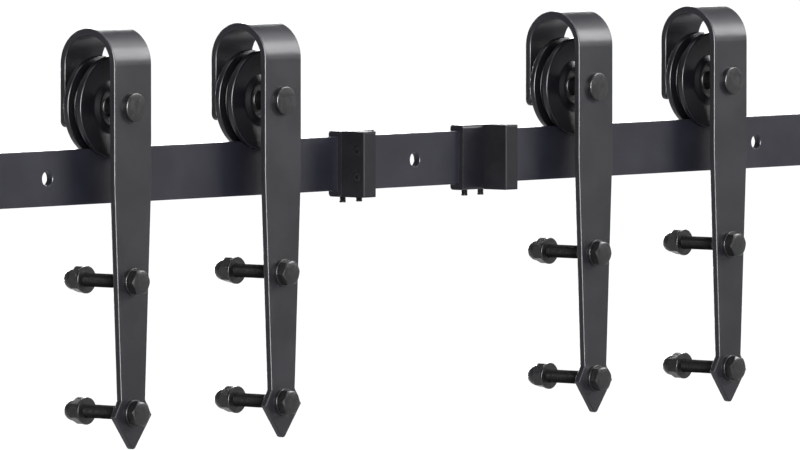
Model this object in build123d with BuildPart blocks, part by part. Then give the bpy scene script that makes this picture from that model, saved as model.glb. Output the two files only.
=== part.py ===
"""Sliding barn door hardware for a pair of doors: a flat rail, four strap hangers on
grooved ball bearing wheels, and four clamp-on stops with bumpers.

Millimetres. X runs along the rail, -Y is the room side, +Z is up. The origin is on the
wall face of the rail, at the axis of its middle fixing hole.
"""

import os

from build123d import *

os.makedirs("parts", exist_ok=True)

# Rail: one flat bar with a row of wall fixing holes
RAIL_LENGTH = 1219.2
RAIL_HEIGHT = 40
RAIL_THICKNESS = 6
RAIL_EDGE_RADIUS = 0.6
WALL_HOLE_DIAMETER = 11
WALL_HOLE_PITCH = 406.4
WALL_HOLE_COUNT = 3

# Where the four hangers hang, along the rail
HANGER_POSITIONS = (-340.5, -176, 183.5, 346)

# Grooved wheel, which rolls on the top edge of the rail
WHEEL_FLANGE_RADIUS = 36.5
GROOVE_RADIUS = 29.5
WHEEL_WIDTH = 16.6
GROOVE_ROOT_WIDTH = 7
GROOVE_MOUTH_WIDTH = 7.8
ROLLING_CLEARANCE = 0.3
HUB_RADIUS = 14.6
HUB_WIDTH = 14.6
WEB_RADIUS = 18.5
WEB_WIDTH = 8.8
RIM_RADIUS = 35
RIM_EDGE_RADIUS = 0.7

# Ball bearing pressed into the wheel
BEARING_BORE = 10
BEARING_DIAMETER = 26
BEARING_WIDTH = 8
RACE_THICKNESS = 2
BALL_COUNT = 7
BALL_RADIUS = 2.38
BALL_CLEARANCE = 0.08
CAGE_THICKNESS = 1.4
CAGE_WIDTH = 5.8
SHIELD_THICKNESS = 0.4
SHIELD_INSET = 0.25
SHIELD_GAP = 0.25
RACE_CHAMFER = 0.3

# Hanger: one strip bent over the wheel, with a long front leg cut to an arrowhead
STRAP_WIDTH = 40
STRAP_THICKNESS = 5
STRAP_DEPTH = 53
STRAP_EDGE_RADIUS = 1
STRAP_TOP_ABOVE_AXLE = 56.8
BACK_LEG_BELOW_AXLE = 15.3
BACK_LEG_CORNER = 5
POINT_DEPTH = 305.5
TAPER_START = 110.6
NECK_DEPTH = 268
SHOULDER_DEPTH = 279.5
NECK_WIDTH = 26
NECK_RADIUS = 2.5
SHOULDER_RADIUS = 1.2
TIP_RADIUS = 3.2

# Axle: round-headed bolt, thin nut and two spacer tubes
AXLE_DIAMETER = 10
AXLE_HEAD_DIAMETER = 21
AXLE_HEAD_THICKNESS = 3.5
AXLE_HEAD_EDGE_RADIUS = 0.8
AXLE_NUT_THICKNESS = 5
AXLE_TAIL = 1.5
SPACER_DIAMETER = 14
SPACER_CHAMFER = 0.4
NUT_ACROSS_FLATS = 17
HEX_CHAMFER_HEIGHT = 1.2
HEX_CHAMFER_REACH = 2
THREAD_END_CHAMFER = 1

# Door bolts: M10 hex bolts with washers and cap nuts, on a 40 mm door
DOOR_THICKNESS = 40
DOOR_BOLT_DEPTHS = (182.6, 277.6)
BOLT_DIAMETER = 10
BOLT_LENGTH = 60
BOLT_HEAD_HEIGHT = 6.4
BOLT_HOLE_DIAMETER = 10.8
WASHER_DIAMETER = 20
WASHER_HOLE = 10.5
WASHER_THICKNESS = 2
WASHER_EDGE_RADIUS = 0.35
CAP_NUT_HEIGHT = 18
CAP_NUT_HEX_HEIGHT = 8.5
CAP_DOME_RADIUS = 7.8
CAP_NUT_BORE_DEPTH = 13

# Stops: a channel that hooks round the rail, a flange, and a bumper over the flange
STOP_LENGTH = 38
STOP_WALL = 4
STOP_HOOK = 2.2
STOP_HOOK_DROP = 7.5
STOP_OUTER_BEND = 2.5
STOP_TOP_FIT = 0.05
STOP_BOTTOM_GAP = 0.5
STOP_BACK_GAP = 0.2
BUMPER_LENGTH = 14
BUMPER_FRONT = 32.2
BUMPER_EDGE_RADIUS = 1.4
FLANGE_THICKNESS = 4
FLANGE_DEPTH = 18.5
FLANGE_HEIGHT = 38
CENTRE_STOP_FACE = 88.6
END_STOP_FACE = 559

# Stop screws: grub screws from below, and cap screws that hold the bumper
GRUB_DIAMETER = 5
GRUB_LENGTH = 9
GRUB_SOCKET = 2.5
GRUB_CHAMFER = 0.4
GRUB_FROM_FACE = (9.5, 28.1)
BUMPER_SCREW_DIAMETER = 4
BUMPER_SCREW_HEAD = 7
BUMPER_SCREW_HEAD_HEIGHT = 2.4
BUMPER_SCREW_SOCKET = 3
BUMPER_SCREW_LENGTH = 8.5
BUMPER_SCREW_TIP_GAP = 0.5
BUMPER_SCREW_INSET = 7.4
BUMPER_SCREW_SPACING = 19
COUNTERBORE = 7.6
COUNTERBORE_DEPTH = 2.8

FIT = 0.03
SLIDE_FIT = 0.1

# How far a cutting shape runs past the faces it cuts
OVERRUN = 1

# Levels and faces that follow from the sizes above
rail_mid_y = -RAIL_THICKNESS / 2
rail_top_z = RAIL_HEIGHT / 2
axle_z = rail_top_z + GROOVE_RADIUS + ROLLING_CLEARANCE
strap_top_z = axle_z + STRAP_TOP_ABOVE_AXLE
front_y = rail_mid_y - STRAP_DEPTH / 2
back_y = rail_mid_y + STRAP_DEPTH / 2
door_face_y = front_y + STRAP_THICKNESS
door_back_y = door_face_y + DOOR_THICKNESS
bolt_levels = [strap_top_z - depth for depth in DOOR_BOLT_DEPTHS]
pitch_radius = (BEARING_BORE + BEARING_DIAMETER) / 4
stop_top_z = rail_top_z + STOP_TOP_FIT + STOP_WALL
stop_bottom_z = -rail_top_z - STOP_BOTTOM_GAP - STOP_WALL
stop_front_y = -RAIL_THICKNESS - STOP_WALL - FIT


def save(piece, name):
    """Label a finished piece and write its STEP file."""
    piece.part.label = name
    export_step(piece.part, f"parts/{name}.step")


def across(x, y, z):
    """A plane that faces the room, centred on a point: local X is along the rail."""
    return Plane((x, y, z), x_dir=(1, 0, 0), z_dir=(0, -1, 0))


def turned_round_axle(x):
    """The axis that a hanger's wheel, bearing and axle share."""
    return Axis((x, 0, axle_z), (0, 1, 0))


def hexagon(across_flats, mode=Mode.ADD):
    """A hexagon with two corners on its local X axis."""
    RegularPolygon(across_flats / 2, side_count=6, major_radius=False, mode=mode)


def make_rail():
    """Flat steel bar, drilled for the wall screws."""
    first_hole = -WALL_HOLE_PITCH * (WALL_HOLE_COUNT - 1) / 2
    with BuildPart() as rail:
        with BuildSketch(across(0, 0, 0)):
            Rectangle(RAIL_LENGTH, RAIL_HEIGHT)
            for number in range(WALL_HOLE_COUNT):
                with Locations((first_hole + number * WALL_HOLE_PITCH, 0)):
                    Circle(WALL_HOLE_DIAMETER / 2, mode=Mode.SUBTRACT)
        extrude(amount=RAIL_THICKNESS)
        fillet(rail.edges().filter_by(Axis.X), RAIL_EDGE_RADIUS)
        chamfer(rail.edges().filter_by(GeomType.CIRCLE), RAIL_EDGE_RADIUS / 2)
    return rail


def make_strap(x):
    """Bent strip: an upside-down U over the wheel, then the outline of the long leg."""
    inner_front_y = front_y + STRAP_THICKNESS
    inner_back_y = back_y - STRAP_THICKNESS
    spring_z = strap_top_z - STRAP_DEPTH / 2
    leg_end_z = strap_top_z - POINT_DEPTH
    back_end_z = axle_z - BACK_LEG_BELOW_AXLE
    with BuildPart() as strap:
        with BuildSketch(Plane.YZ.offset(x - STRAP_WIDTH / 2)):
            with BuildLine():
                Line((front_y, leg_end_z), (front_y, spring_z))
                ThreePointArc((front_y, spring_z), (rail_mid_y, strap_top_z), (back_y, spring_z))
                Polyline(
                    (back_y, spring_z),
                    (back_y, back_end_z),
                    (inner_back_y, back_end_z),
                    (inner_back_y, spring_z),
                )
                ThreePointArc(
                    (inner_back_y, spring_z),
                    (rail_mid_y, strap_top_z - STRAP_THICKNESS),
                    (inner_front_y, spring_z),
                )
                Polyline((inner_front_y, spring_z), (inner_front_y, leg_end_z), (front_y, leg_end_z))
            make_face()
        extrude(amount=STRAP_WIDTH)
        with BuildSketch(across(x, back_y + OVERRUN, strap_top_z)) as outline:
            with BuildLine():
                Polyline(
                    (0, OVERRUN),
                    (STRAP_WIDTH / 2, OVERRUN),
                    (STRAP_WIDTH / 2, -TAPER_START),
                    (NECK_WIDTH / 2, -NECK_DEPTH),
                    (STRAP_WIDTH / 2, -SHOULDER_DEPTH),
                    (0, -POINT_DEPTH),
                )
                mirror(about=Plane.YZ)
            make_face()
            levels = outline.vertices().group_by(Axis.Y)
            fillet(levels[0], TIP_RADIUS)
            fillet(levels[1], SHOULDER_RADIUS)
            fillet(levels[2], NECK_RADIUS)
        extrude(amount=STRAP_DEPTH + 2 * OVERRUN, mode=Mode.INTERSECT)
        back_corners = strap.edges().filter_by(Axis.Y).filter_by_position(Axis.Y, 0, back_y)
        fillet(back_corners, BACK_LEG_CORNER)
        long_edges = strap.edges().filter_by(Axis.X, reverse=True).filter_by(Axis.Y, reverse=True)
        fillet(long_edges, STRAP_EDGE_RADIUS)
        with BuildSketch(across(x, back_y, axle_z)):
            Circle(AXLE_DIAMETER / 2 + FIT)
        extrude(amount=STRAP_DEPTH, mode=Mode.SUBTRACT)
        for level in bolt_levels:
            with BuildSketch(across(x, back_y, level)):
                Circle(BOLT_HOLE_DIAMETER / 2)
            extrude(amount=STRAP_DEPTH, mode=Mode.SUBTRACT)
    return strap


def make_axle_bolt(x):
    """Turned axle with a flat round head at the front and a threaded tail."""
    tail_y = back_y + AXLE_NUT_THICKNESS + AXLE_TAIL
    with BuildPart() as axle:
        with BuildSketch(across(x, tail_y, axle_z)):
            Circle(AXLE_DIAMETER / 2)
        extrude(amount=tail_y - front_y)
        chamfer(axle.edges().sort_by(Axis.Y)[-1], THREAD_END_CHAMFER)
        with BuildSketch(across(x, front_y, axle_z)):
            Circle(AXLE_HEAD_DIAMETER / 2)
        extrude(amount=AXLE_HEAD_THICKNESS)
        fillet(axle.edges().sort_by(Axis.Y)[0], AXLE_HEAD_EDGE_RADIUS)
    return axle


def make_axle_nut(x):
    """Thin hex lock nut against the back leg."""
    with BuildPart() as nut:
        with BuildSketch(across(x, back_y + AXLE_NUT_THICKNESS, axle_z)):
            hexagon(NUT_ACROSS_FLATS)
        extrude(amount=AXLE_NUT_THICKNESS)
        with BuildSketch(Plane((x, back_y, axle_z))):
            with BuildLine():
                flat = NUT_ACROSS_FLATS / 2
                Polyline(
                    (0, 0),
                    (flat + HEX_CHAMFER_REACH, 0),
                    (flat + HEX_CHAMFER_REACH, AXLE_NUT_THICKNESS - HEX_CHAMFER_HEIGHT),
                    (flat, AXLE_NUT_THICKNESS),
                    (0, AXLE_NUT_THICKNESS),
                    close=True,
                )
            make_face()
        revolve(axis=turned_round_axle(x), mode=Mode.INTERSECT)
        with BuildSketch(across(x, back_y + AXLE_NUT_THICKNESS, axle_z)):
            Circle(AXLE_DIAMETER / 2 + FIT)
        extrude(amount=AXLE_NUT_THICKNESS, mode=Mode.SUBTRACT)
    return nut


def make_axle_spacers(x):
    """Two tubes that keep the wheel centred between the legs."""
    inner_back_y = back_y - STRAP_THICKNESS
    race_back_y = rail_mid_y + BEARING_WIDTH / 2
    spacer_length = inner_back_y - race_back_y
    with BuildPart() as spacers:
        for start_y in (inner_back_y, rail_mid_y - BEARING_WIDTH / 2):
            with BuildSketch(across(x, start_y, axle_z)):
                Circle(SPACER_DIAMETER / 2)
                Circle(AXLE_DIAMETER / 2 + FIT, mode=Mode.SUBTRACT)
            extrude(amount=spacer_length)
        outer_edges = spacers.edges().filter_by(GeomType.CIRCLE).group_by(SortBy.RADIUS)[-1]
        chamfer(outer_edges, SPACER_CHAMFER)
    return spacers


def make_wheel(x):
    """Moulded wheel: two flanges beside a groove, dished sides, and a bearing seat."""
    seat = BEARING_DIAMETER / 2 + FIT
    half_side = [
        (seat, HUB_WIDTH / 2),
        (HUB_RADIUS, HUB_WIDTH / 2),
        (WEB_RADIUS, WEB_WIDTH / 2),
        (RIM_RADIUS, WHEEL_WIDTH / 2),
        (WHEEL_FLANGE_RADIUS, WHEEL_WIDTH / 2),
        (WHEEL_FLANGE_RADIUS, GROOVE_MOUTH_WIDTH / 2),
        (GROOVE_RADIUS, GROOVE_ROOT_WIDTH / 2),
    ]
    other_side = [(radius, -offset) for radius, offset in reversed(half_side)]
    with BuildPart() as wheel:
        with BuildSketch(Plane((x, rail_mid_y, axle_z))) as section:
            with BuildLine():
                Polyline(*half_side, *other_side, close=True)
            make_face()
            fillet(section.vertices().group_by(Axis.X)[-1], RIM_EDGE_RADIUS)
        revolve(axis=turned_round_axle(x))
    return wheel


def make_race(x, inner_radius, outer_radius):
    """A bearing ring with the track that the balls run in."""
    with BuildPart() as race:
        with BuildSketch(across(x, rail_mid_y + BEARING_WIDTH / 2, axle_z)):
            Circle(outer_radius)
            Circle(inner_radius, mode=Mode.SUBTRACT)
        extrude(amount=BEARING_WIDTH)
        chamfer(race.edges().filter_by(GeomType.CIRCLE), RACE_CHAMFER)
        with BuildSketch(Plane((x, rail_mid_y, axle_z))):
            with Locations((pitch_radius, 0)):
                Circle(BALL_RADIUS + BALL_CLEARANCE)
        revolve(axis=turned_round_axle(x), mode=Mode.SUBTRACT)
    return race


def make_ball_set(x):
    """Seven balls and the cage that spaces them."""
    ball_ring = across(x, rail_mid_y, axle_z)
    with BuildPart() as ball_set:
        with BuildSketch(across(x, rail_mid_y + CAGE_WIDTH / 2, axle_z)):
            Circle(pitch_radius + CAGE_THICKNESS / 2)
            Circle(pitch_radius - CAGE_THICKNESS / 2, mode=Mode.SUBTRACT)
        extrude(amount=CAGE_WIDTH)
        with Locations(ball_ring):
            with PolarLocations(pitch_radius, BALL_COUNT):
                Cylinder(
                    BALL_RADIUS + BALL_CLEARANCE,
                    2 * CAGE_THICKNESS,
                    rotation=(0, 90, 0),
                    mode=Mode.SUBTRACT,
                )
            with PolarLocations(pitch_radius, BALL_COUNT):
                Sphere(BALL_RADIUS)
    return ball_set


def make_shields(x):
    """Two thin rings that close the sides of the bearing."""
    inner_radius = BEARING_BORE / 2 + RACE_THICKNESS + SHIELD_GAP
    outer_radius = BEARING_DIAMETER / 2 - RACE_THICKNESS - FIT
    side = BEARING_WIDTH / 2 - SHIELD_INSET
    with BuildPart() as shields:
        for start_y in (rail_mid_y + side, rail_mid_y - side + SHIELD_THICKNESS):
            with BuildSketch(across(x, start_y, axle_z)):
                Circle(outer_radius)
                Circle(inner_radius, mode=Mode.SUBTRACT)
            extrude(amount=SHIELD_THICKNESS)
    return shields


def make_door_bolts(x):
    """Two hex bolts through the front leg, heads on the room side."""
    head_y = front_y - WASHER_THICKNESS
    with BuildPart() as bolts:
        for level in bolt_levels:
            bolt_axis = Axis((x, 0, level), (0, 1, 0))
            with BuildSketch(Plane((x, head_y, level))):
                with BuildLine():
                    flat = NUT_ACROSS_FLATS / 2
                    Polyline(
                        (0, 0),
                        (flat + HEX_CHAMFER_REACH, 0),
                        (flat + HEX_CHAMFER_REACH, HEX_CHAMFER_HEIGHT - BOLT_HEAD_HEIGHT),
                        (flat, -BOLT_HEAD_HEIGHT),
                        (0, -BOLT_HEAD_HEIGHT),
                        close=True,
                    )
                make_face()
            revolve(axis=bolt_axis)
        for level in bolt_levels:
            with BuildSketch(across(x, head_y, level)):
                Circle(NUT_ACROSS_FLATS)
                hexagon(NUT_ACROSS_FLATS, mode=Mode.SUBTRACT)
            extrude(amount=BOLT_HEAD_HEIGHT, mode=Mode.SUBTRACT)
            with BuildSketch(across(x, head_y + BOLT_LENGTH, level)):
                Circle(BOLT_DIAMETER / 2)
            extrude(amount=BOLT_LENGTH)
        chamfer(bolts.edges().group_by(Axis.Y)[-1], THREAD_END_CHAMFER)
    return bolts


def make_door_washers(x):
    """Four flat washers: one under each head and one under each cap nut."""
    with BuildPart() as washers:
        for start_y in (front_y, door_back_y + WASHER_THICKNESS):
            for level in bolt_levels:
                with BuildSketch(across(x, start_y, level)):
                    Circle(WASHER_DIAMETER / 2)
                    Circle(WASHER_HOLE / 2, mode=Mode.SUBTRACT)
                extrude(amount=WASHER_THICKNESS)
        outer_edges = washers.edges().filter_by(GeomType.CIRCLE).group_by(SortBy.RADIUS)[-1]
        fillet(outer_edges, WASHER_EDGE_RADIUS)
    return washers


def make_cap_nuts(x):
    """Two domed cap nuts behind the door."""
    nut_y = door_back_y + WASHER_THICKNESS
    with BuildPart() as nuts:
        for level in bolt_levels:
            nut_axis = Axis((x, 0, level), (0, 1, 0))
            with BuildSketch(Plane((x, nut_y, level))):
                with BuildLine():
                    flat = NUT_ACROSS_FLATS / 2
                    dome_y = CAP_NUT_HEIGHT - CAP_DOME_RADIUS
                    Polyline(
                        (0, 0),
                        (flat, 0),
                        (flat + HEX_CHAMFER_REACH, HEX_CHAMFER_HEIGHT),
                        (flat + HEX_CHAMFER_REACH, CAP_NUT_HEX_HEIGHT - HEX_CHAMFER_HEIGHT),
                        (CAP_DOME_RADIUS, CAP_NUT_HEX_HEIGHT),
                        (CAP_DOME_RADIUS, dome_y),
                    )
                    RadiusArc((CAP_DOME_RADIUS, dome_y), (0, CAP_NUT_HEIGHT), -CAP_DOME_RADIUS)
                    Line((0, CAP_NUT_HEIGHT), (0, 0))
                make_face()
            revolve(axis=nut_axis)
        for level in bolt_levels:
            with BuildSketch(across(x, nut_y + CAP_NUT_HEIGHT, level)):
                Circle(NUT_ACROSS_FLATS)
                hexagon(NUT_ACROSS_FLATS, mode=Mode.SUBTRACT)
            extrude(amount=CAP_NUT_HEIGHT, mode=Mode.SUBTRACT)
            with BuildSketch(across(x, nut_y + CAP_NUT_BORE_DEPTH, level)):
                Circle(BOLT_DIAMETER / 2 + FIT)
            extrude(amount=CAP_NUT_BORE_DEPTH, mode=Mode.SUBTRACT)
    return nuts


def make_stop_body(face_x, outward):
    """Channel that hooks over and under the rail, with a flange out at its bumper end.

    face_x is where the bumper's face is, and outward is the way it faces, 1 or -1.
    """
    start_x = min(face_x, face_x - outward * STOP_LENGTH)
    hook_y = STOP_BACK_GAP + STOP_HOOK
    flange_x = face_x - outward * BUMPER_LENGTH / 2
    hook_inner_z = rail_top_z + STOP_WALL - STOP_HOOK_DROP
    with BuildPart() as body:
        with BuildSketch(Plane.YZ.offset(start_x)) as section:
            with BuildLine():
                Polyline(
                    (hook_y, hook_inner_z),
                    (hook_y, stop_top_z),
                    (stop_front_y, stop_top_z),
                    (stop_front_y, stop_bottom_z),
                    (hook_y, stop_bottom_z),
                    (hook_y, -hook_inner_z),
                    (STOP_BACK_GAP, -hook_inner_z),
                    (STOP_BACK_GAP, -rail_top_z - STOP_BOTTOM_GAP),
                    (-RAIL_THICKNESS - FIT, -rail_top_z - STOP_BOTTOM_GAP),
                    (-RAIL_THICKNESS - FIT, rail_top_z + STOP_TOP_FIT),
                    (STOP_BACK_GAP, rail_top_z + STOP_TOP_FIT),
                    (STOP_BACK_GAP, hook_inner_z),
                    close=True,
                )
            make_face()
            outer_levels = section.vertices().group_by(Axis.Y)
            fillet(outer_levels[0] + outer_levels[-1], STOP_OUTER_BEND)
        extrude(amount=STOP_LENGTH)
        with BuildSketch(across(flange_x, stop_front_y, 0)):
            Rectangle(FLANGE_THICKNESS, FLANGE_HEIGHT)
        extrude(amount=FLANGE_DEPTH)
        for level in (-BUMPER_SCREW_SPACING / 2, BUMPER_SCREW_SPACING / 2):
            with BuildSketch(Plane.YZ.offset(flange_x - FLANGE_THICKNESS)):
                with Locations((BUMPER_SCREW_INSET - BUMPER_FRONT, level)):
                    Circle(BUMPER_SCREW_DIAMETER / 2 + FIT)
            extrude(amount=2 * FLANGE_THICKNESS, mode=Mode.SUBTRACT)
        for distance in GRUB_FROM_FACE:
            below = Plane((face_x - outward * distance, rail_mid_y, stop_bottom_z - OVERRUN))
            with BuildSketch(below):
                Circle(GRUB_DIAMETER / 2 + FIT)
            extrude(amount=STOP_WALL + 2 * OVERRUN, mode=Mode.SUBTRACT)
    return body


def make_bumper(face_x, outward):
    """Moulded block that caps the flange and takes the knock of the wheel."""
    height = stop_top_z - stop_bottom_z
    depth = BUMPER_FRONT + stop_front_y - FIT
    middle = (face_x - outward * BUMPER_LENGTH / 2, stop_front_y - FIT, (stop_top_z + stop_bottom_z) / 2)
    with BuildPart() as bumper:
        with BuildSketch(across(*middle)):
            Rectangle(BUMPER_LENGTH, height)
        extrude(amount=depth)
        fillet(bumper.faces().sort_by(Axis.Y)[0].edges(), BUMPER_EDGE_RADIUS)
        with BuildSketch(across(middle[0], middle[1], 0)):
            Rectangle(FLANGE_THICKNESS + SLIDE_FIT, FLANGE_HEIGHT + SLIDE_FIT)
        extrude(amount=FLANGE_DEPTH, mode=Mode.SUBTRACT)
        screw_y = BUMPER_SCREW_INSET - BUMPER_FRONT
        for level in (-BUMPER_SCREW_SPACING / 2, BUMPER_SCREW_SPACING / 2):
            face = Plane((face_x, screw_y, level), x_dir=(0, 1, 0), z_dir=(-outward, 0, 0))
            with BuildSketch(face):
                Circle(COUNTERBORE / 2)
            extrude(amount=COUNTERBORE_DEPTH, mode=Mode.SUBTRACT)
            with BuildSketch(face):
                Circle(BUMPER_SCREW_DIAMETER / 2 + SLIDE_FIT)
            hole_depth = COUNTERBORE_DEPTH + BUMPER_SCREW_LENGTH + BUMPER_SCREW_TIP_GAP
            extrude(amount=hole_depth, mode=Mode.SUBTRACT)
    return bumper


def make_grub_screws(stops):
    """Socket set screws that clamp the stops to the bottom edge of the rail."""
    with BuildPart() as screws:
        for face_x, outward in stops:
            for distance in GRUB_FROM_FACE:
                tip = Plane((face_x - outward * distance, rail_mid_y, -rail_top_z - GRUB_LENGTH))
                with BuildSketch(tip):
                    Circle(GRUB_DIAMETER / 2)
                extrude(amount=GRUB_LENGTH)
        chamfer(screws.edges().filter_by(GeomType.CIRCLE), GRUB_CHAMFER)
        for face_x, outward in stops:
            for distance in GRUB_FROM_FACE:
                tip = Plane((face_x - outward * distance, rail_mid_y, -rail_top_z - GRUB_LENGTH))
                with BuildSketch(tip):
                    hexagon(GRUB_SOCKET)
                extrude(amount=GRUB_LENGTH / 3, mode=Mode.SUBTRACT)
    return screws


def make_bumper_screws(stops):
    """Low socket head screws, sunk in the bumpers' faces and screwed into the flanges."""
    screw_y = BUMPER_SCREW_INSET - BUMPER_FRONT
    seats = [(face_x, outward, level) for face_x, outward in stops
             for level in (-BUMPER_SCREW_SPACING / 2, BUMPER_SCREW_SPACING / 2)]
    with BuildPart() as screws:
        for face_x, outward, level in seats:
            seat_x = face_x - outward * COUNTERBORE_DEPTH
            seat = Plane((seat_x, screw_y, level), x_dir=(0, 1, 0), z_dir=(outward, 0, 0))
            with BuildSketch(seat):
                Circle(BUMPER_SCREW_HEAD / 2)
            extrude(amount=BUMPER_SCREW_HEAD_HEIGHT)
            with BuildSketch(seat):
                Circle(BUMPER_SCREW_DIAMETER / 2)
            extrude(amount=-BUMPER_SCREW_LENGTH)
        for face_x, outward, level in seats:
            head_x = face_x - outward * (COUNTERBORE_DEPTH - BUMPER_SCREW_HEAD_HEIGHT)
            head = Plane((head_x, screw_y, level), x_dir=(0, 1, 0), z_dir=(-outward, 0, 0))
            with BuildSketch(head):
                hexagon(BUMPER_SCREW_SOCKET)
            extrude(amount=BUMPER_SCREW_HEAD_HEIGHT / 2, mode=Mode.SUBTRACT)
    return screws


save(make_rail(), "rail")

for number, x in enumerate(HANGER_POSITIONS, start=1):
    save(make_strap(x), f"hanger_strap_{number}")
    save(make_axle_bolt(x), f"axle_bolt_{number}")
    save(make_axle_nut(x), f"axle_nut_{number}")
    save(make_axle_spacers(x), f"axle_spacers_{number}")
    save(make_door_bolts(x), f"door_bolts_{number}")
    save(make_door_washers(x), f"door_washers_{number}")
    save(make_cap_nuts(x), f"cap_nuts_{number}")
    save(make_wheel(x), f"wheel_{number}")
    bore = BEARING_BORE / 2 + FIT
    outside = BEARING_DIAMETER / 2
    save(make_race(x, bore, BEARING_BORE / 2 + RACE_THICKNESS), f"bearing_inner_race_{number}")
    save(make_race(x, outside - RACE_THICKNESS, outside), f"bearing_outer_race_{number}")
    save(make_ball_set(x), f"bearing_ball_set_{number}")
    save(make_shields(x), f"bearing_shields_{number}")

stops = {
    "left_end_stop": (-END_STOP_FACE, 1),
    "left_centre_stop": (-CENTRE_STOP_FACE, -1),
    "right_centre_stop": (CENTRE_STOP_FACE, 1),
    "right_end_stop": (END_STOP_FACE, -1),
}
for name, (face_x, outward) in stops.items():
    save(make_stop_body(face_x, outward), f"{name}_body")
    save(make_bumper(face_x, outward), f"{name}_bumper")
save(make_grub_screws(stops.values()), "stop_grub_screws")
save(make_bumper_screws(stops.values()), "stop_bumper_screws")
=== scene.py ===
"""Sliding barn door hardware for a pair of doors: rail, clamp-on stops and four strap hangers."""

import math

import bmesh
import bpy
from mathutils import Matrix, Vector


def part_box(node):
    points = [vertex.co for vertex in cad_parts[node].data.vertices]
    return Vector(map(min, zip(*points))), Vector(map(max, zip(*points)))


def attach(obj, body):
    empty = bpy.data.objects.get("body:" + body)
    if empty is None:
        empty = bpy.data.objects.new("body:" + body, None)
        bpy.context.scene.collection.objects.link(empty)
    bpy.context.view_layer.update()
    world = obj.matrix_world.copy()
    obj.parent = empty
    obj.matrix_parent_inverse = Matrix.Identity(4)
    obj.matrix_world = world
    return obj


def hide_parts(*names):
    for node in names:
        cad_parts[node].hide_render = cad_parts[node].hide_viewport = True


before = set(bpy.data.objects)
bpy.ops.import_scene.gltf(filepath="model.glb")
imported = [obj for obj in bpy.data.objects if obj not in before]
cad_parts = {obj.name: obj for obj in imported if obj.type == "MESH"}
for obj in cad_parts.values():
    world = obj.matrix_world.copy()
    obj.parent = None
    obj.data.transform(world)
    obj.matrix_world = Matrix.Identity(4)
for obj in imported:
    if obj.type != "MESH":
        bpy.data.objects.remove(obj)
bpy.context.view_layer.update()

# ---------------------------------------------------------------- rail
# One flat steel bar, drilled for the wall screws, with a satin black powder coat over it. The coat is
# sprayed on and baked: it has a fine orange peel, and it is thin over the edges.


class Shade:
    """One output of a material's nodes. Arithmetic on it adds the Math node that does it."""

    def __init__(self, tree, socket=None):
        self.tree = tree
        self.socket = socket

    def add(self, kind, inputs=None, output=0, **settings):
        """Adds a node: its settings first, then the values or links of its sockets."""
        node = self.tree.nodes.new("ShaderNode" + kind)
        for name, value in settings.items():
            setattr(node, name, value)
        for name, value in (inputs or {}).items():
            if isinstance(value, Shade):
                self.tree.links.new(value.socket, node.inputs[name])
            else:
                node.inputs[name].default_value = value
        return Shade(self.tree, node.outputs[output])

    def maths(self, operation, first, second):
        return self.add("Math", {0: first, 1: second}, operation=operation)

    def __add__(self, other):
        return self.maths("ADD", self, other)

    def __radd__(self, other):
        return self.maths("ADD", other, self)

    def __sub__(self, other):
        return self.maths("SUBTRACT", self, other)

    def __rsub__(self, other):
        return self.maths("SUBTRACT", other, self)

    def __mul__(self, other):
        return self.maths("MULTIPLY", self, other)

    def __rmul__(self, other):
        return self.maths("MULTIPLY", other, self)

    def noise(self, scale, detail=2.0, roughness=0.5):
        """Noise over this place, with the scale in features per metre."""
        inputs = {"Vector": self, "Scale": scale, "Detail": detail, "Roughness": roughness}
        return self.add("TexNoise", inputs)

    def between(self, low, high):
        """0 below low, 1 above high, and a smooth step from one to the other."""
        inputs = {"Value": self, "From Min": low, "From Max": high}
        return self.add("MapRange", inputs, interpolation_type="SMOOTHSTEP", clamp=True)

    def blend(self, colour, other):
        """One colour where this mask is 0, and the other where it is 1."""
        first, second = (paint if isinstance(paint, Shade) else (*paint, 1) for paint in (colour, other))
        return self.add("Mix", {0: self, 6: first, 7: second}, output=2, data_type="RGBA")

    def bump(self, distance):
        """A normal from this height, whose full range is that many metres."""
        return self.add("Bump", {"Height": self, "Distance": distance})


def start(name):
    """A new material and the place on the piece, in metres, that its patterns are drawn at."""
    material = bpy.data.materials.new(name)
    material.use_nodes = True
    place = Shade(material.node_tree).add("TexCoord", output=3)
    return material, place


def finish_with(material, **sockets):
    """Fills the sockets of the material's own shader."""
    shader = material.node_tree.nodes["Principled BSDF"]
    for name, value in sockets.items():
        socket = shader.inputs[name.replace("_", " ").title().replace("Ior", "IOR")]
        if isinstance(value, Shade):
            material.node_tree.links.new(value.socket, socket)
        else:
            socket.default_value = value


THIN_EDGE = 0.0009
BARE_STEEL = (0.22, 0.22, 0.23)


def coat(name, paint, haze, shine, rubbed_through):
    """Powder coat: fine orange peel, faint cloudy shade, and edges where the coat is thin."""
    material, place = start(name)
    bevel = place.add("Bevel", {"Radius": THIN_EDGE}, samples=4)
    normal = place.add("NewGeometry", output=1)
    straight = place.add("VectorMath", {0: bevel, 1: normal}, output=1, operation="DOT_PRODUCT")
    edge = (1 - straight).between(0.02, 0.22)
    cloud = place.noise(28, 4.0, 0.6).between(0.32, 0.72)
    grains = place.noise(2600, 1.0)
    worn = edge * place.noise(420, 3.0).between(0.20, 0.55) * rubbed_through
    finish_with(
        material,
        base_color=worn.blend(cloud.blend(paint, haze), BARE_STEEL),
        roughness=0.36 + 0.06 * cloud + 0.04 * grains - 0.08 * edge,
        metallic=0.8 * worn,
        normal=(place.noise(950, 2.0) + 0.35 * grains).bump(0.00003),
        specular_ior_level=shine,
        coat_weight=shine / 2,
        coat_roughness=0.20,
    )
    return material


def wear(node, material):
    """Gives a CAD node its finish."""
    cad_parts[node].data.materials.clear()
    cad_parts[node].data.materials.append(material)


rail_coat = coat("rail_powder_coat", (0.010, 0.010, 0.019), (0.014, 0.014, 0.027), 0.14, 0.1)
wear("rail", rail_coat)

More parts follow.
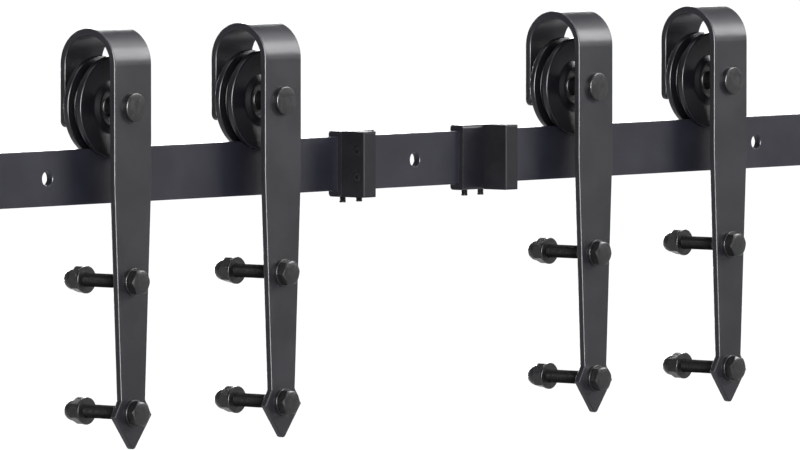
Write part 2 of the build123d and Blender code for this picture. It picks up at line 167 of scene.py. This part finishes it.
# ---------------------------------------------------------------- stops
# Each is a bent steel channel that hooks over and under the rail, with a duller powder coat, and a
# moulded rubber cap on its flange. Two small black screws hold the cap, sunk in its face.

stop_coat = coat("stop_powder_coat", (0.009, 0.009, 0.014), (0.013, 0.013, 0.019), 0.10, 0.4)

rubber, place = start("bumper_rubber")
bloom = place.noise(60, 5.0, 0.65).between(0.35, 0.75)
finish_with(
    rubber,
    base_color=bloom.blend((0.006, 0.006, 0.009), (0.010, 0.010, 0.014)),
    roughness=0.58 + 0.10 * bloom,
    specular_ior_level=0.08,
    normal=(place.noise(1700, 3.0) + 0.4 * place.noise(240, 2.0)).bump(0.00004),
)

oxide, place = start("black_screw")
handled = place.noise(500, 4.0).between(0.35, 0.70)
finish_with(
    oxide,
    base_color=handled.blend((0.005, 0.005, 0.005), (0.011, 0.011, 0.012)),
    roughness=0.42 + 0.12 * handled,
    specular_ior_level=0.16,
    normal=place.noise(3000, 2.0).bump(0.000015),
)

STOPS = ("left_end_stop", "left_centre_stop", "right_centre_stop", "right_end_stop")
for name in STOPS:
    wear(name + "_body", stop_coat)
    wear(name + "_bumper", rubber)
wear("stop_bumper_screws", oxide)

# ---------------------------------------------------------------- hanger straps
# A flat steel strip, bent over a former into an upside-down U. The long leg is cut to a taper and an
# arrowhead and drilled for the two door bolts. Its powder coat is a little glossier than the rail's.

HANGERS = (1, 2, 3, 4)
strap_coat = coat("strap_powder_coat", (0.0115, 0.011, 0.0155), (0.0155, 0.015, 0.021), 0.16, 0.5)
for number in HANGERS:
    wear(f"hanger_strap_{number}", strap_coat)

# ---------------------------------------------------------------- wheels
# Moulded black nylon: two flanges beside a groove that sits on the rail's edge, sides that dish in
# to a hub, and every corner rounded by the mould. Faint rings from the mould's turning run round it.


def ring(radius_at, height, sides=60):
    """One closed ring of points round the local Z axis.

    The radius may vary with the angle, and the height with the radius.
    """
    points = []
    for step in range(sides):
        angle = 2 * math.pi * step / sides
        radius = radius_at(angle) if callable(radius_at) else radius_at
        level = height(radius) if callable(height) else height
        points.append((radius * math.cos(angle), radius * math.sin(angle), level))
    return points


def loft(name, stacks, materials, body, replaced, plain_rings=None):
    """A mesh of closed skins through rings of points, each stack set down by its own matrix.

    A stack whose last ring is its first one again is a hollow turned shape. Any other is capped.
    The first plain rings have the first material, and what follows them has the second.
    """
    mesh = bmesh.new()
    for rings, matrix in stacks:
        hollow = rings[0] == rings[-1]
        loops = [[mesh.verts.new(matrix @ Vector(point)) for point in points] for points in rings[:-1]]
        if hollow:
            loops.append(loops[0])
        else:
            loops.append([mesh.verts.new(matrix @ Vector(point)) for point in rings[-1]])
        for number, (low, high) in enumerate(zip(loops, loops[1:])):
            for step in range(len(low)):
                after = (step + 1) % len(low)
                face = mesh.faces.new((low[step], low[after], high[after], high[step]))
                face.material_index = int(plain_rings is not None and number >= plain_rings)
        if not hollow:
            for loop in (list(reversed(loops[0])), loops[-1]):
                bmesh.ops.poke(mesh, faces=[mesh.faces.new(loop)])
    bmesh.ops.recalc_face_normals(mesh, faces=mesh.faces)
    data = bpy.data.meshes.new(name)
    mesh.to_mesh(data)
    mesh.free()
    piece = bpy.data.objects.new(name, data)
    bpy.context.scene.collection.objects.link(piece)
    for material in materials:
        data.materials.append(material)
    data.shade_smooth()
    data.set_sharp_from_angle(angle=math.radians(32))
    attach(piece, body)
    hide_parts(replaced)


def facing_wall(x, y, z):
    """Local Z towards the wall and local X along the rail, from a point."""
    return Matrix.Translation((x, y, z)) @ Matrix.Rotation(math.radians(-90), 4, "X")


def rounded(corners, steps=5):
    """A closed outline whose corners are arcs. A corner's third number is the radius of its arc."""
    outline = []
    for number, corner in enumerate(corners):
        here = Vector(corner[:2])
        arc = corner[2]
        back = (Vector(corners[number - 1][:2]) - here).normalized()
        ahead = (Vector(corners[(number + 1) % len(corners)][:2]) - here).normalized()
        half = back.angle(ahead) / 2
        centre = here + (back + ahead).normalized() * arc / math.sin(half)
        first = here + back * arc / math.tan(half) - centre
        last = here + ahead * arc / math.tan(half) - centre
        for step in range(steps + 1):
            outline.append(centre + arc * first.slerp(last, step / steps))
    return outline


nylon, place = start("wheel_nylon")
boxed = place.add("TexCoord", output=0)
centred = boxed.add("VectorMath", {0: boxed, 1: (0.5, 0.5, 0.5)}, operation="SUBTRACT")
across_axle = centred.add("VectorMath", {0: centred, 1: (1, 0, 1)}, operation="MULTIPLY")
from_axle = across_axle.add("VectorMath", {0: across_axle}, output=1, operation="LENGTH")
marks = {"W": from_axle * 90, "Scale": 1.0, "Detail": 1.0}
turning = from_axle.add("TexNoise", marks, noise_dimensions="1D")
scuffs = place.noise(120, 5.0, 0.7).between(0.45, 0.75)
finish_with(
    nylon,
    base_color=scuffs.blend((0.007, 0.007, 0.010), (0.009, 0.009, 0.013)),
    roughness=0.30 + 0.04 * scuffs,
    normal=(turning + 0.05 * place.noise(1400, 2.0)).bump(0.000007),
    specular_ior_level=0.2,
    coat_weight=0.06,
    coat_roughness=0.18,
)

WHEEL_SIDES = 144
BORE_RADIUS = 0.01303
HUB_RADIUS = 0.0146
DISH_RADIUS = 0.0190
RIM_RADIUS = 0.0350
FLANGE_RADIUS = 0.0365
GROOVE_RADIUS = 0.0295
HALF_WIDTH = 0.0083
HUB_HALF_WIDTH = 0.0073
DISH_HALF_WIDTH = 0.0053
LIP_HALF_WIDTH = 0.0039
GROOVE_HALF_WIDTH = 0.0035
half_section = [
    (BORE_RADIUS, HUB_HALF_WIDTH, 0.0003),
    (HUB_RADIUS, HUB_HALF_WIDTH, 0.0007),
    (DISH_RADIUS, DISH_HALF_WIDTH, 0.0036),
    (RIM_RADIUS, HALF_WIDTH, 0.0004),
    (FLANGE_RADIUS, HALF_WIDTH, 0.0006),
    (FLANGE_RADIUS, LIP_HALF_WIDTH, 0.0007),
    (GROOVE_RADIUS, GROOVE_HALF_WIDTH, 0.0006),
]
other_half = [(across, -along, arc) for across, along, arc in reversed(half_section)]
turned = [ring(point.x, point.y, WHEEL_SIDES) for point in rounded(half_section + other_half)]
for number in HANGERS:
    low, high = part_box(f"wheel_{number}")
    stack = (turned + turned[:1], facing_wall(*(low + high) / 2))
    node = f"wheel_{number}"
    loft(f"grooved_wheel_{number}", [stack], [nylon], node, node)

# ---------------------------------------------------------------- bearings
# Sealed ball bearings, pressed into the wheels: dark, oiled steel rings, hard balls in a pressed cage,
# and thin shields faced with black rubber, which keep the grease in.

ground, place = start("bearing_steel")
lapped = place.noise(900, 4.0)
finish_with(
    ground,
    base_color=lapped.blend((0.025, 0.025, 0.026), (0.045, 0.045, 0.046)),
    roughness=0.46 + 0.10 * lapped,
    metallic=1.0,
    normal=place.noise(4000, 2.0).bump(0.000008),
)
seal, place = start("seal_rubber")
oily = place.noise(260, 3.0).between(0.3, 0.7)
finish_with(
    seal,
    base_color=oily.blend((0.012, 0.012, 0.012), (0.020, 0.020, 0.021)),
    roughness=0.44 + 0.14 * oily,
    specular_ior_level=0.25,
    normal=place.noise(1500, 2.0).bump(0.00001),
)
for number in HANGERS:
    for part in ("inner_race", "outer_race", "ball_set"):
        wear(f"bearing_{part}_{number}", ground)
    wear(f"bearing_shields_{number}", seal)

# ---------------------------------------------------------------- axle bolts
# Turned steel pins with a flat round head in front and a thread for the thin nut behind, black
# finished. The hexagon nut and the two spacer tubes beside the bearing have the same finish.

black, place = start("black_bolt")
rubbed = place.noise(320, 4.0, 0.6).between(0.35, 0.72)
finish_with(
    black,
    base_color=rubbed.blend((0.009, 0.009, 0.010), (0.015, 0.015, 0.016)),
    roughness=0.30 + 0.10 * rubbed,
    normal=(place.noise(1300, 3.0) + 0.3 * place.noise(4200, 1.0)).bump(0.00002),
    specular_ior_level=0.2,
    coat_weight=0.10,
    coat_roughness=0.14,
)
# The thread's faces get a near-black colour and almost no gloss, darker than the shank: painted shade for
# the shadow in the thread's grooves, which are too fine to shade themselves. The mottle across it is
# random.
thread_painted_shade, place = start("thread_painted_shade")
oil = place.noise(700, 3.0).between(0.35, 0.65)
finish_with(
    thread_painted_shade,
    base_color=oil.blend((0.002, 0.002, 0.002), (0.005, 0.005, 0.005)),
    roughness=0.45 + 0.2 * oil,
    specular_ior_level=0.03,
)

THREAD_DEPTH = 0.61
THREAD_FLAT = 0.1
RINGS_PER_TURN = 7


def thread(outer, pitch, start_level, end_level):
    """Rings of a cut screw thread, which fades in over its first turn and out over its last half.

    Its depth is a share of its pitch. Its crest and its root are flat for a share of half a pitch.
    """
    steps = round((end_level - start_level) / pitch * RINGS_PER_TURN)
    rings = []
    for step in range(steps + 1):
        level = start_level + (end_level - start_level) * step / steps
        fade = min(1, (level - start_level) / pitch, (end_level - level) / pitch * 2)
        cut = THREAD_DEPTH * pitch * fade

        def radius_at(angle, level=level, cut=cut):
            phase = (level / pitch - angle / (2 * math.pi)) % 1
            slope = (1 - abs(2 * phase - 1) - THREAD_FLAT) / (1 - 2 * THREAD_FLAT)
            return outer - cut * min(1, max(0, slope))

        rings.append(ring(radius_at, level))
    return rings


COARSE_PITCH = 0.0015
TAIL_POINT = 0.0006
FLAT_RING = 0.004
AXLE_RADIUS = 0.005
AXLE_HEAD_RADIUS = 0.0105
AXLE_HEAD_THICKNESS = 0.0035
AXLE_HEAD_EDGE = 0.0009
AXLE_THREAD = 0.011
AXLE_TAIL_RADIUS = 0.0043
EDGE_STEPS = 5
for number in HANGERS:
    low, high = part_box(f"axle_bolt_{number}")
    length = high.y - low.y
    rings = [ring(FLAT_RING, 0.0)]
    for step in range(EDGE_STEPS + 1):
        turn = math.pi / 2 * step / EDGE_STEPS
        radius = AXLE_HEAD_RADIUS - AXLE_HEAD_EDGE + AXLE_HEAD_EDGE * math.sin(turn)
        rings.append(ring(radius, AXLE_HEAD_EDGE - AXLE_HEAD_EDGE * math.cos(turn)))
    rings += [ring(AXLE_HEAD_RADIUS, AXLE_HEAD_THICKNESS), ring(AXLE_RADIUS, AXLE_HEAD_THICKNESS)]
    plain = len(rings)
    rings += thread(AXLE_RADIUS, COARSE_PITCH, length - AXLE_THREAD, length - TAIL_POINT)
    rings.append(ring(AXLE_TAIL_RADIUS, length))
    stack = (rings, facing_wall((low.x + high.x) / 2, low.y, (low.z + high.z) / 2))
    body, node = f"hanger_{number}", f"axle_bolt_{number}"
    loft(f"axle_pin_{number}", [stack], [black, thread_painted_shade], body, node, plain)
    wear(f"axle_nut_{number}", black)
    wear(f"axle_spacers_{number}", black)

# ---------------------------------------------------------------- door bolts
# Stock black M10 hex bolts, two in each strap: a chamfered head, a plain shank near the strap, then a
# rolled thread. Their heads are turned as the spanner left them.


def hexagon(across_flats, rounding):
    """The radius of a hexagon with rounded corners, by angle. Two of its corners are on local X."""
    half = across_flats / 2
    corner_centre = (half - rounding) / math.cos(math.pi / 6)
    flat_half_angle = math.atan((half - rounding) * math.tan(math.pi / 6) / half)

    def radius_at(angle):
        off_corner = abs((angle + math.pi / 6) % (math.pi / 3) - math.pi / 6)
        off_flat = math.pi / 6 - off_corner
        if off_flat < flat_half_angle:
            return half / math.cos(off_flat)
        reach = rounding**2 - (corner_centre * math.sin(off_corner)) ** 2
        return corner_centre * math.cos(off_corner) + math.sqrt(reach)

    return radius_at


def at_both_bolts(number, low, high, turned=0):
    """Where a hanger's two door bolts are, lower one first, each turned by its own few degrees."""
    places = []
    levels = (low.z + HEAD_ACROSS_FLATS / 2, high.z - HEAD_ACROSS_FLATS / 2)
    for level, head_turn in zip(levels, HEAD_TURNS[number - 1]):
        turn = Matrix.Rotation(math.radians(head_turn + turned), 4, "Z")
        places.append(facing_wall((low.x + high.x) / 2, low.y, level) @ turn)
    return places


HEAD_HEIGHT = 0.0064
HEAD_ACROSS_FLATS = 0.017
HEAD_CORNER = 0.0007
HEAD_FACE = 0.94 * HEAD_ACROSS_FLATS / 2
HEAD_FOOT = 0.96 * HEAD_ACROSS_FLATS / 2
HEAD_FLAT_RING = 0.003
SOFT_EDGE = 0.0003
SOFT_EDGE_DROP = 0.0001
FILLET = 0.0004
CHAMFER = math.tan(math.radians(30))
BOLT_RADIUS = 0.005
BOLT_TAIL_RADIUS = 0.0041
SHANK_END = 0.0234
HEAD_TURNS = ((10, 0), (4, -6), (-8, 5), (12, -3))
for number in HANGERS:
    low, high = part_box(f"door_bolts_{number}")
    length = high.y - low.y
    head = hexagon(HEAD_ACROSS_FLATS, HEAD_CORNER)
    rings = [ring(HEAD_FLAT_RING, 0.0), ring(HEAD_FACE - SOFT_EDGE, 0.0), ring(HEAD_FACE, SOFT_EDGE_DROP)]
    rings.append(ring(head, lambda radius: SOFT_EDGE_DROP + (radius - HEAD_FACE) * CHAMFER))
    rings += [ring(head, HEAD_HEIGHT - FILLET), ring(HEAD_FOOT, HEAD_HEIGHT)]
    rings += [ring(BOLT_RADIUS + SOFT_EDGE, HEAD_HEIGHT), ring(BOLT_RADIUS, HEAD_HEIGHT + FILLET)]
    plain = len(rings)
    rings += thread(BOLT_RADIUS, COARSE_PITCH, SHANK_END, length - TAIL_POINT)
    rings.append(ring(BOLT_TAIL_RADIUS, length))
    stacks = [(rings, place) for place in at_both_bolts(number, low, high)]
    body, node = f"hanger_{number}", f"door_bolts_{number}"
    loft(f"hex_bolts_{number}", stacks, [black, thread_painted_shade], body, node, plain)

# ---------------------------------------------------------------- cap nuts and washers
# Domed cap nuts close the back of each door bolt, over plain washers. A washer of the same kind is
# under each bolt head. All are stock parts in the bolts' black finish.

NUT_HEX_HEIGHT = 0.0085
NUT_DOME_RADIUS = 0.0078
NUT_SHOULDER = 0.0080
NUT_NECK = 0.0003
NUT_EDGE_LEVEL = NUT_HEX_HEIGHT - 0.0002
NUT_TURN = 21
NUT_BORE = 0.00503
NUT_BORE_DEPTH = 0.013
BORE_POINT = 0.001
BORE_CHAMFER = 0.0007
BORE_CHAMFER_DEPTH = 0.0008
DOME_STEPS = 12
DOME_TOP = 0.0004
for number in HANGERS:
    low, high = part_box(f"cap_nuts_{number}")
    height = high.y - low.y
    side = hexagon(HEAD_ACROSS_FLATS, HEAD_CORNER)
    rings = [ring(BORE_POINT, NUT_BORE_DEPTH + BORE_POINT), ring(NUT_BORE, NUT_BORE_DEPTH)]
    rings += [ring(NUT_BORE, BORE_CHAMFER_DEPTH), ring(NUT_BORE + BORE_CHAMFER, 0.0), ring(HEAD_FOOT, 0.0)]
    rings.append(ring(side, lambda radius: SOFT_EDGE_DROP + (radius - HEAD_FOOT) * CHAMFER))
    rings.append(ring(side, lambda radius: NUT_EDGE_LEVEL - (radius - NUT_SHOULDER) * CHAMFER))
    rings += [ring(NUT_SHOULDER, NUT_HEX_HEIGHT), ring(NUT_DOME_RADIUS, NUT_HEX_HEIGHT + NUT_NECK)]
    for step in range(DOME_STEPS):
        turn = math.pi / 2 * step / DOME_STEPS
        level = height - NUT_DOME_RADIUS + NUT_DOME_RADIUS * math.sin(turn)
        rings.append(ring(NUT_DOME_RADIUS * math.cos(turn), level))
    rings.append(ring(DOME_TOP, height))
    stacks = [(rings, place) for place in at_both_bolts(number, low, high, NUT_TURN)]
    loft(f"domed_nuts_{number}", stacks, [black], f"hanger_{number}", f"cap_nuts_{number}")
    wear(f"door_washers_{number}", black)

# ---------------------------------------------------------------- grub screws
# Two M5 socket set screws under each stop, with the bumper screws' black oxide. They are turned up until
# their flat ends clamp the rail's lower edge, and half of each stays below the channel.

SCREW_RADIUS = 0.0025
SCREW_CHAMFER = 0.0004
SCREW_PITCH = 0.0008
SCREW_SOCKET = 0.0025
SOCKET_CORNER = 0.0001
SOCKET_DEPTH = 0.003
SOCKET_POINT = 0.0003
SCREWS_FROM_FACE = (0.0095, 0.0281)
low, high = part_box("stop_grub_screws")
length = high.z - low.z
socket = hexagon(SCREW_SOCKET, SOCKET_CORNER)
rings = [ring(SOCKET_POINT, SOCKET_DEPTH), ring(socket, SOCKET_DEPTH - SOCKET_POINT), ring(socket, 0.0)]
rings += [ring(SCREW_RADIUS - SCREW_CHAMFER, 0.0), ring(SCREW_RADIUS, SCREW_CHAMFER)]
rings += thread(SCREW_RADIUS, SCREW_PITCH, SCREW_CHAMFER, length - SCREW_CHAMFER)
rings.append(ring(SCREW_RADIUS - SCREW_CHAMFER, length))
stacks = []
for name in STOPS:
    body_low, body_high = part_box(name + "_body")
    bumper_low, bumper_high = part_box(name + "_bumper")
    faces_right = bumper_high.x + bumper_low.x > body_high.x + body_low.x
    for distance in SCREWS_FROM_FACE:
        x = body_high.x - distance if faces_right else body_low.x + distance
        stacks.append((rings, Matrix.Translation((x, (low.y + high.y) / 2, low.z))))
loft("threaded_grub_screws", stacks, [oxide], "rail_assembly", "stop_grub_screws")

# ---------------------------------------------------------------- studio
# A pale paper floor well below the hardware, soft boxes round it that show in its gloss, a wide
# ceiling light, and a camera with a long lens.

FLOOR_LEVEL = -1.5
FLOOR_HALF = 400.0
floor_mesh = bpy.data.meshes.new("floor")
square = ((-1, -1), (1, -1), (1, 1), (-1, 1))
corners = [(x * FLOOR_HALF, y * FLOOR_HALF, FLOOR_LEVEL) for x, y in square]
floor_mesh.from_pydata(corners, [], [(0, 1, 2, 3)])
floor = bpy.data.objects.new("floor", floor_mesh)
bpy.context.scene.collection.objects.link(floor)
paper, place = start("floor_paper")
finish_with(paper, base_color=(0.92, 0.92, 0.92, 1), roughness=0.9)
floor_mesh.materials.append(paper)

world = bpy.data.worlds.new("studio_air")
bpy.context.scene.world = world
world.use_nodes = True
world.node_tree.nodes["Background"].inputs["Color"].default_value = (0.96, 0.98, 1.0, 1)
world.node_tree.nodes["Background"].inputs["Strength"].default_value = 0.35


def from_middle(azimuth, elevation, distance):
    """A point that far from the middle. Azimuth 0 is in front of the rail, 90 to its right."""
    turn = math.radians(azimuth)
    rise = math.radians(elevation)
    direction = (math.sin(turn) * math.cos(rise), -math.cos(turn) * math.cos(rise), math.sin(rise))
    return distance * Vector(direction)


def aim(thing, target):
    """Turns a light or the camera so that it looks at a point."""
    thing.rotation_euler = (Vector(target) - thing.location).to_track_quat("-Z", "Y").to_euler()


def soft_box(name, azimuth, elevation, distance, width, height, radiance):
    """A rectangular light for the highlights only."""
    data = bpy.data.lights.new(name, "AREA")
    data.shape = "RECTANGLE"
    data.size = width
    data.size_y = height
    data.energy = radiance * width * height * math.pi
    box = bpy.data.objects.new(name, data)
    bpy.context.scene.collection.objects.link(box)
    box.location = from_middle(azimuth, elevation, distance)
    box.visible_diffuse = False
    aim(box, (0, 0, 0))


soft_box("band_light", 51, 24, 4.0, 1.6, 1.8, 28.0)
soft_box("top_light", 50, 56, 4.0, 1.8, 2.2, 18.0)
soft_box("edge_light", -40, 8, 10.0, 5.0, 6.0, 110.0)
soft_box("back_light", 140, 10, 10.0, 5.0, 6.0, 20.0)

sun = bpy.data.lights.new("ceiling", "SUN")
sun.energy = 2.6
sun.angle = math.radians(60)
ceiling = bpy.data.objects.new("ceiling", sun)
bpy.context.scene.collection.objects.link(ceiling)

bpy.context.scene.view_settings.view_transform = "Standard"

AZIMUTH = -49.54
ELEVATION = 2.87
CAMERA_DISTANCE = 8.252
TARGET = Vector((-0.0102, 0, -0.0485))
camera_data = bpy.data.cameras.new("camera")
camera_data.lens = 499
camera_data.clip_end = 2000
camera = bpy.data.objects.new("camera", camera_data)
bpy.context.scene.collection.objects.link(camera)
camera.location = TARGET + from_middle(AZIMUTH, ELEVATION, CAMERA_DISTANCE)
aim(camera, TARGET)
bpy.context.scene.camera = camera
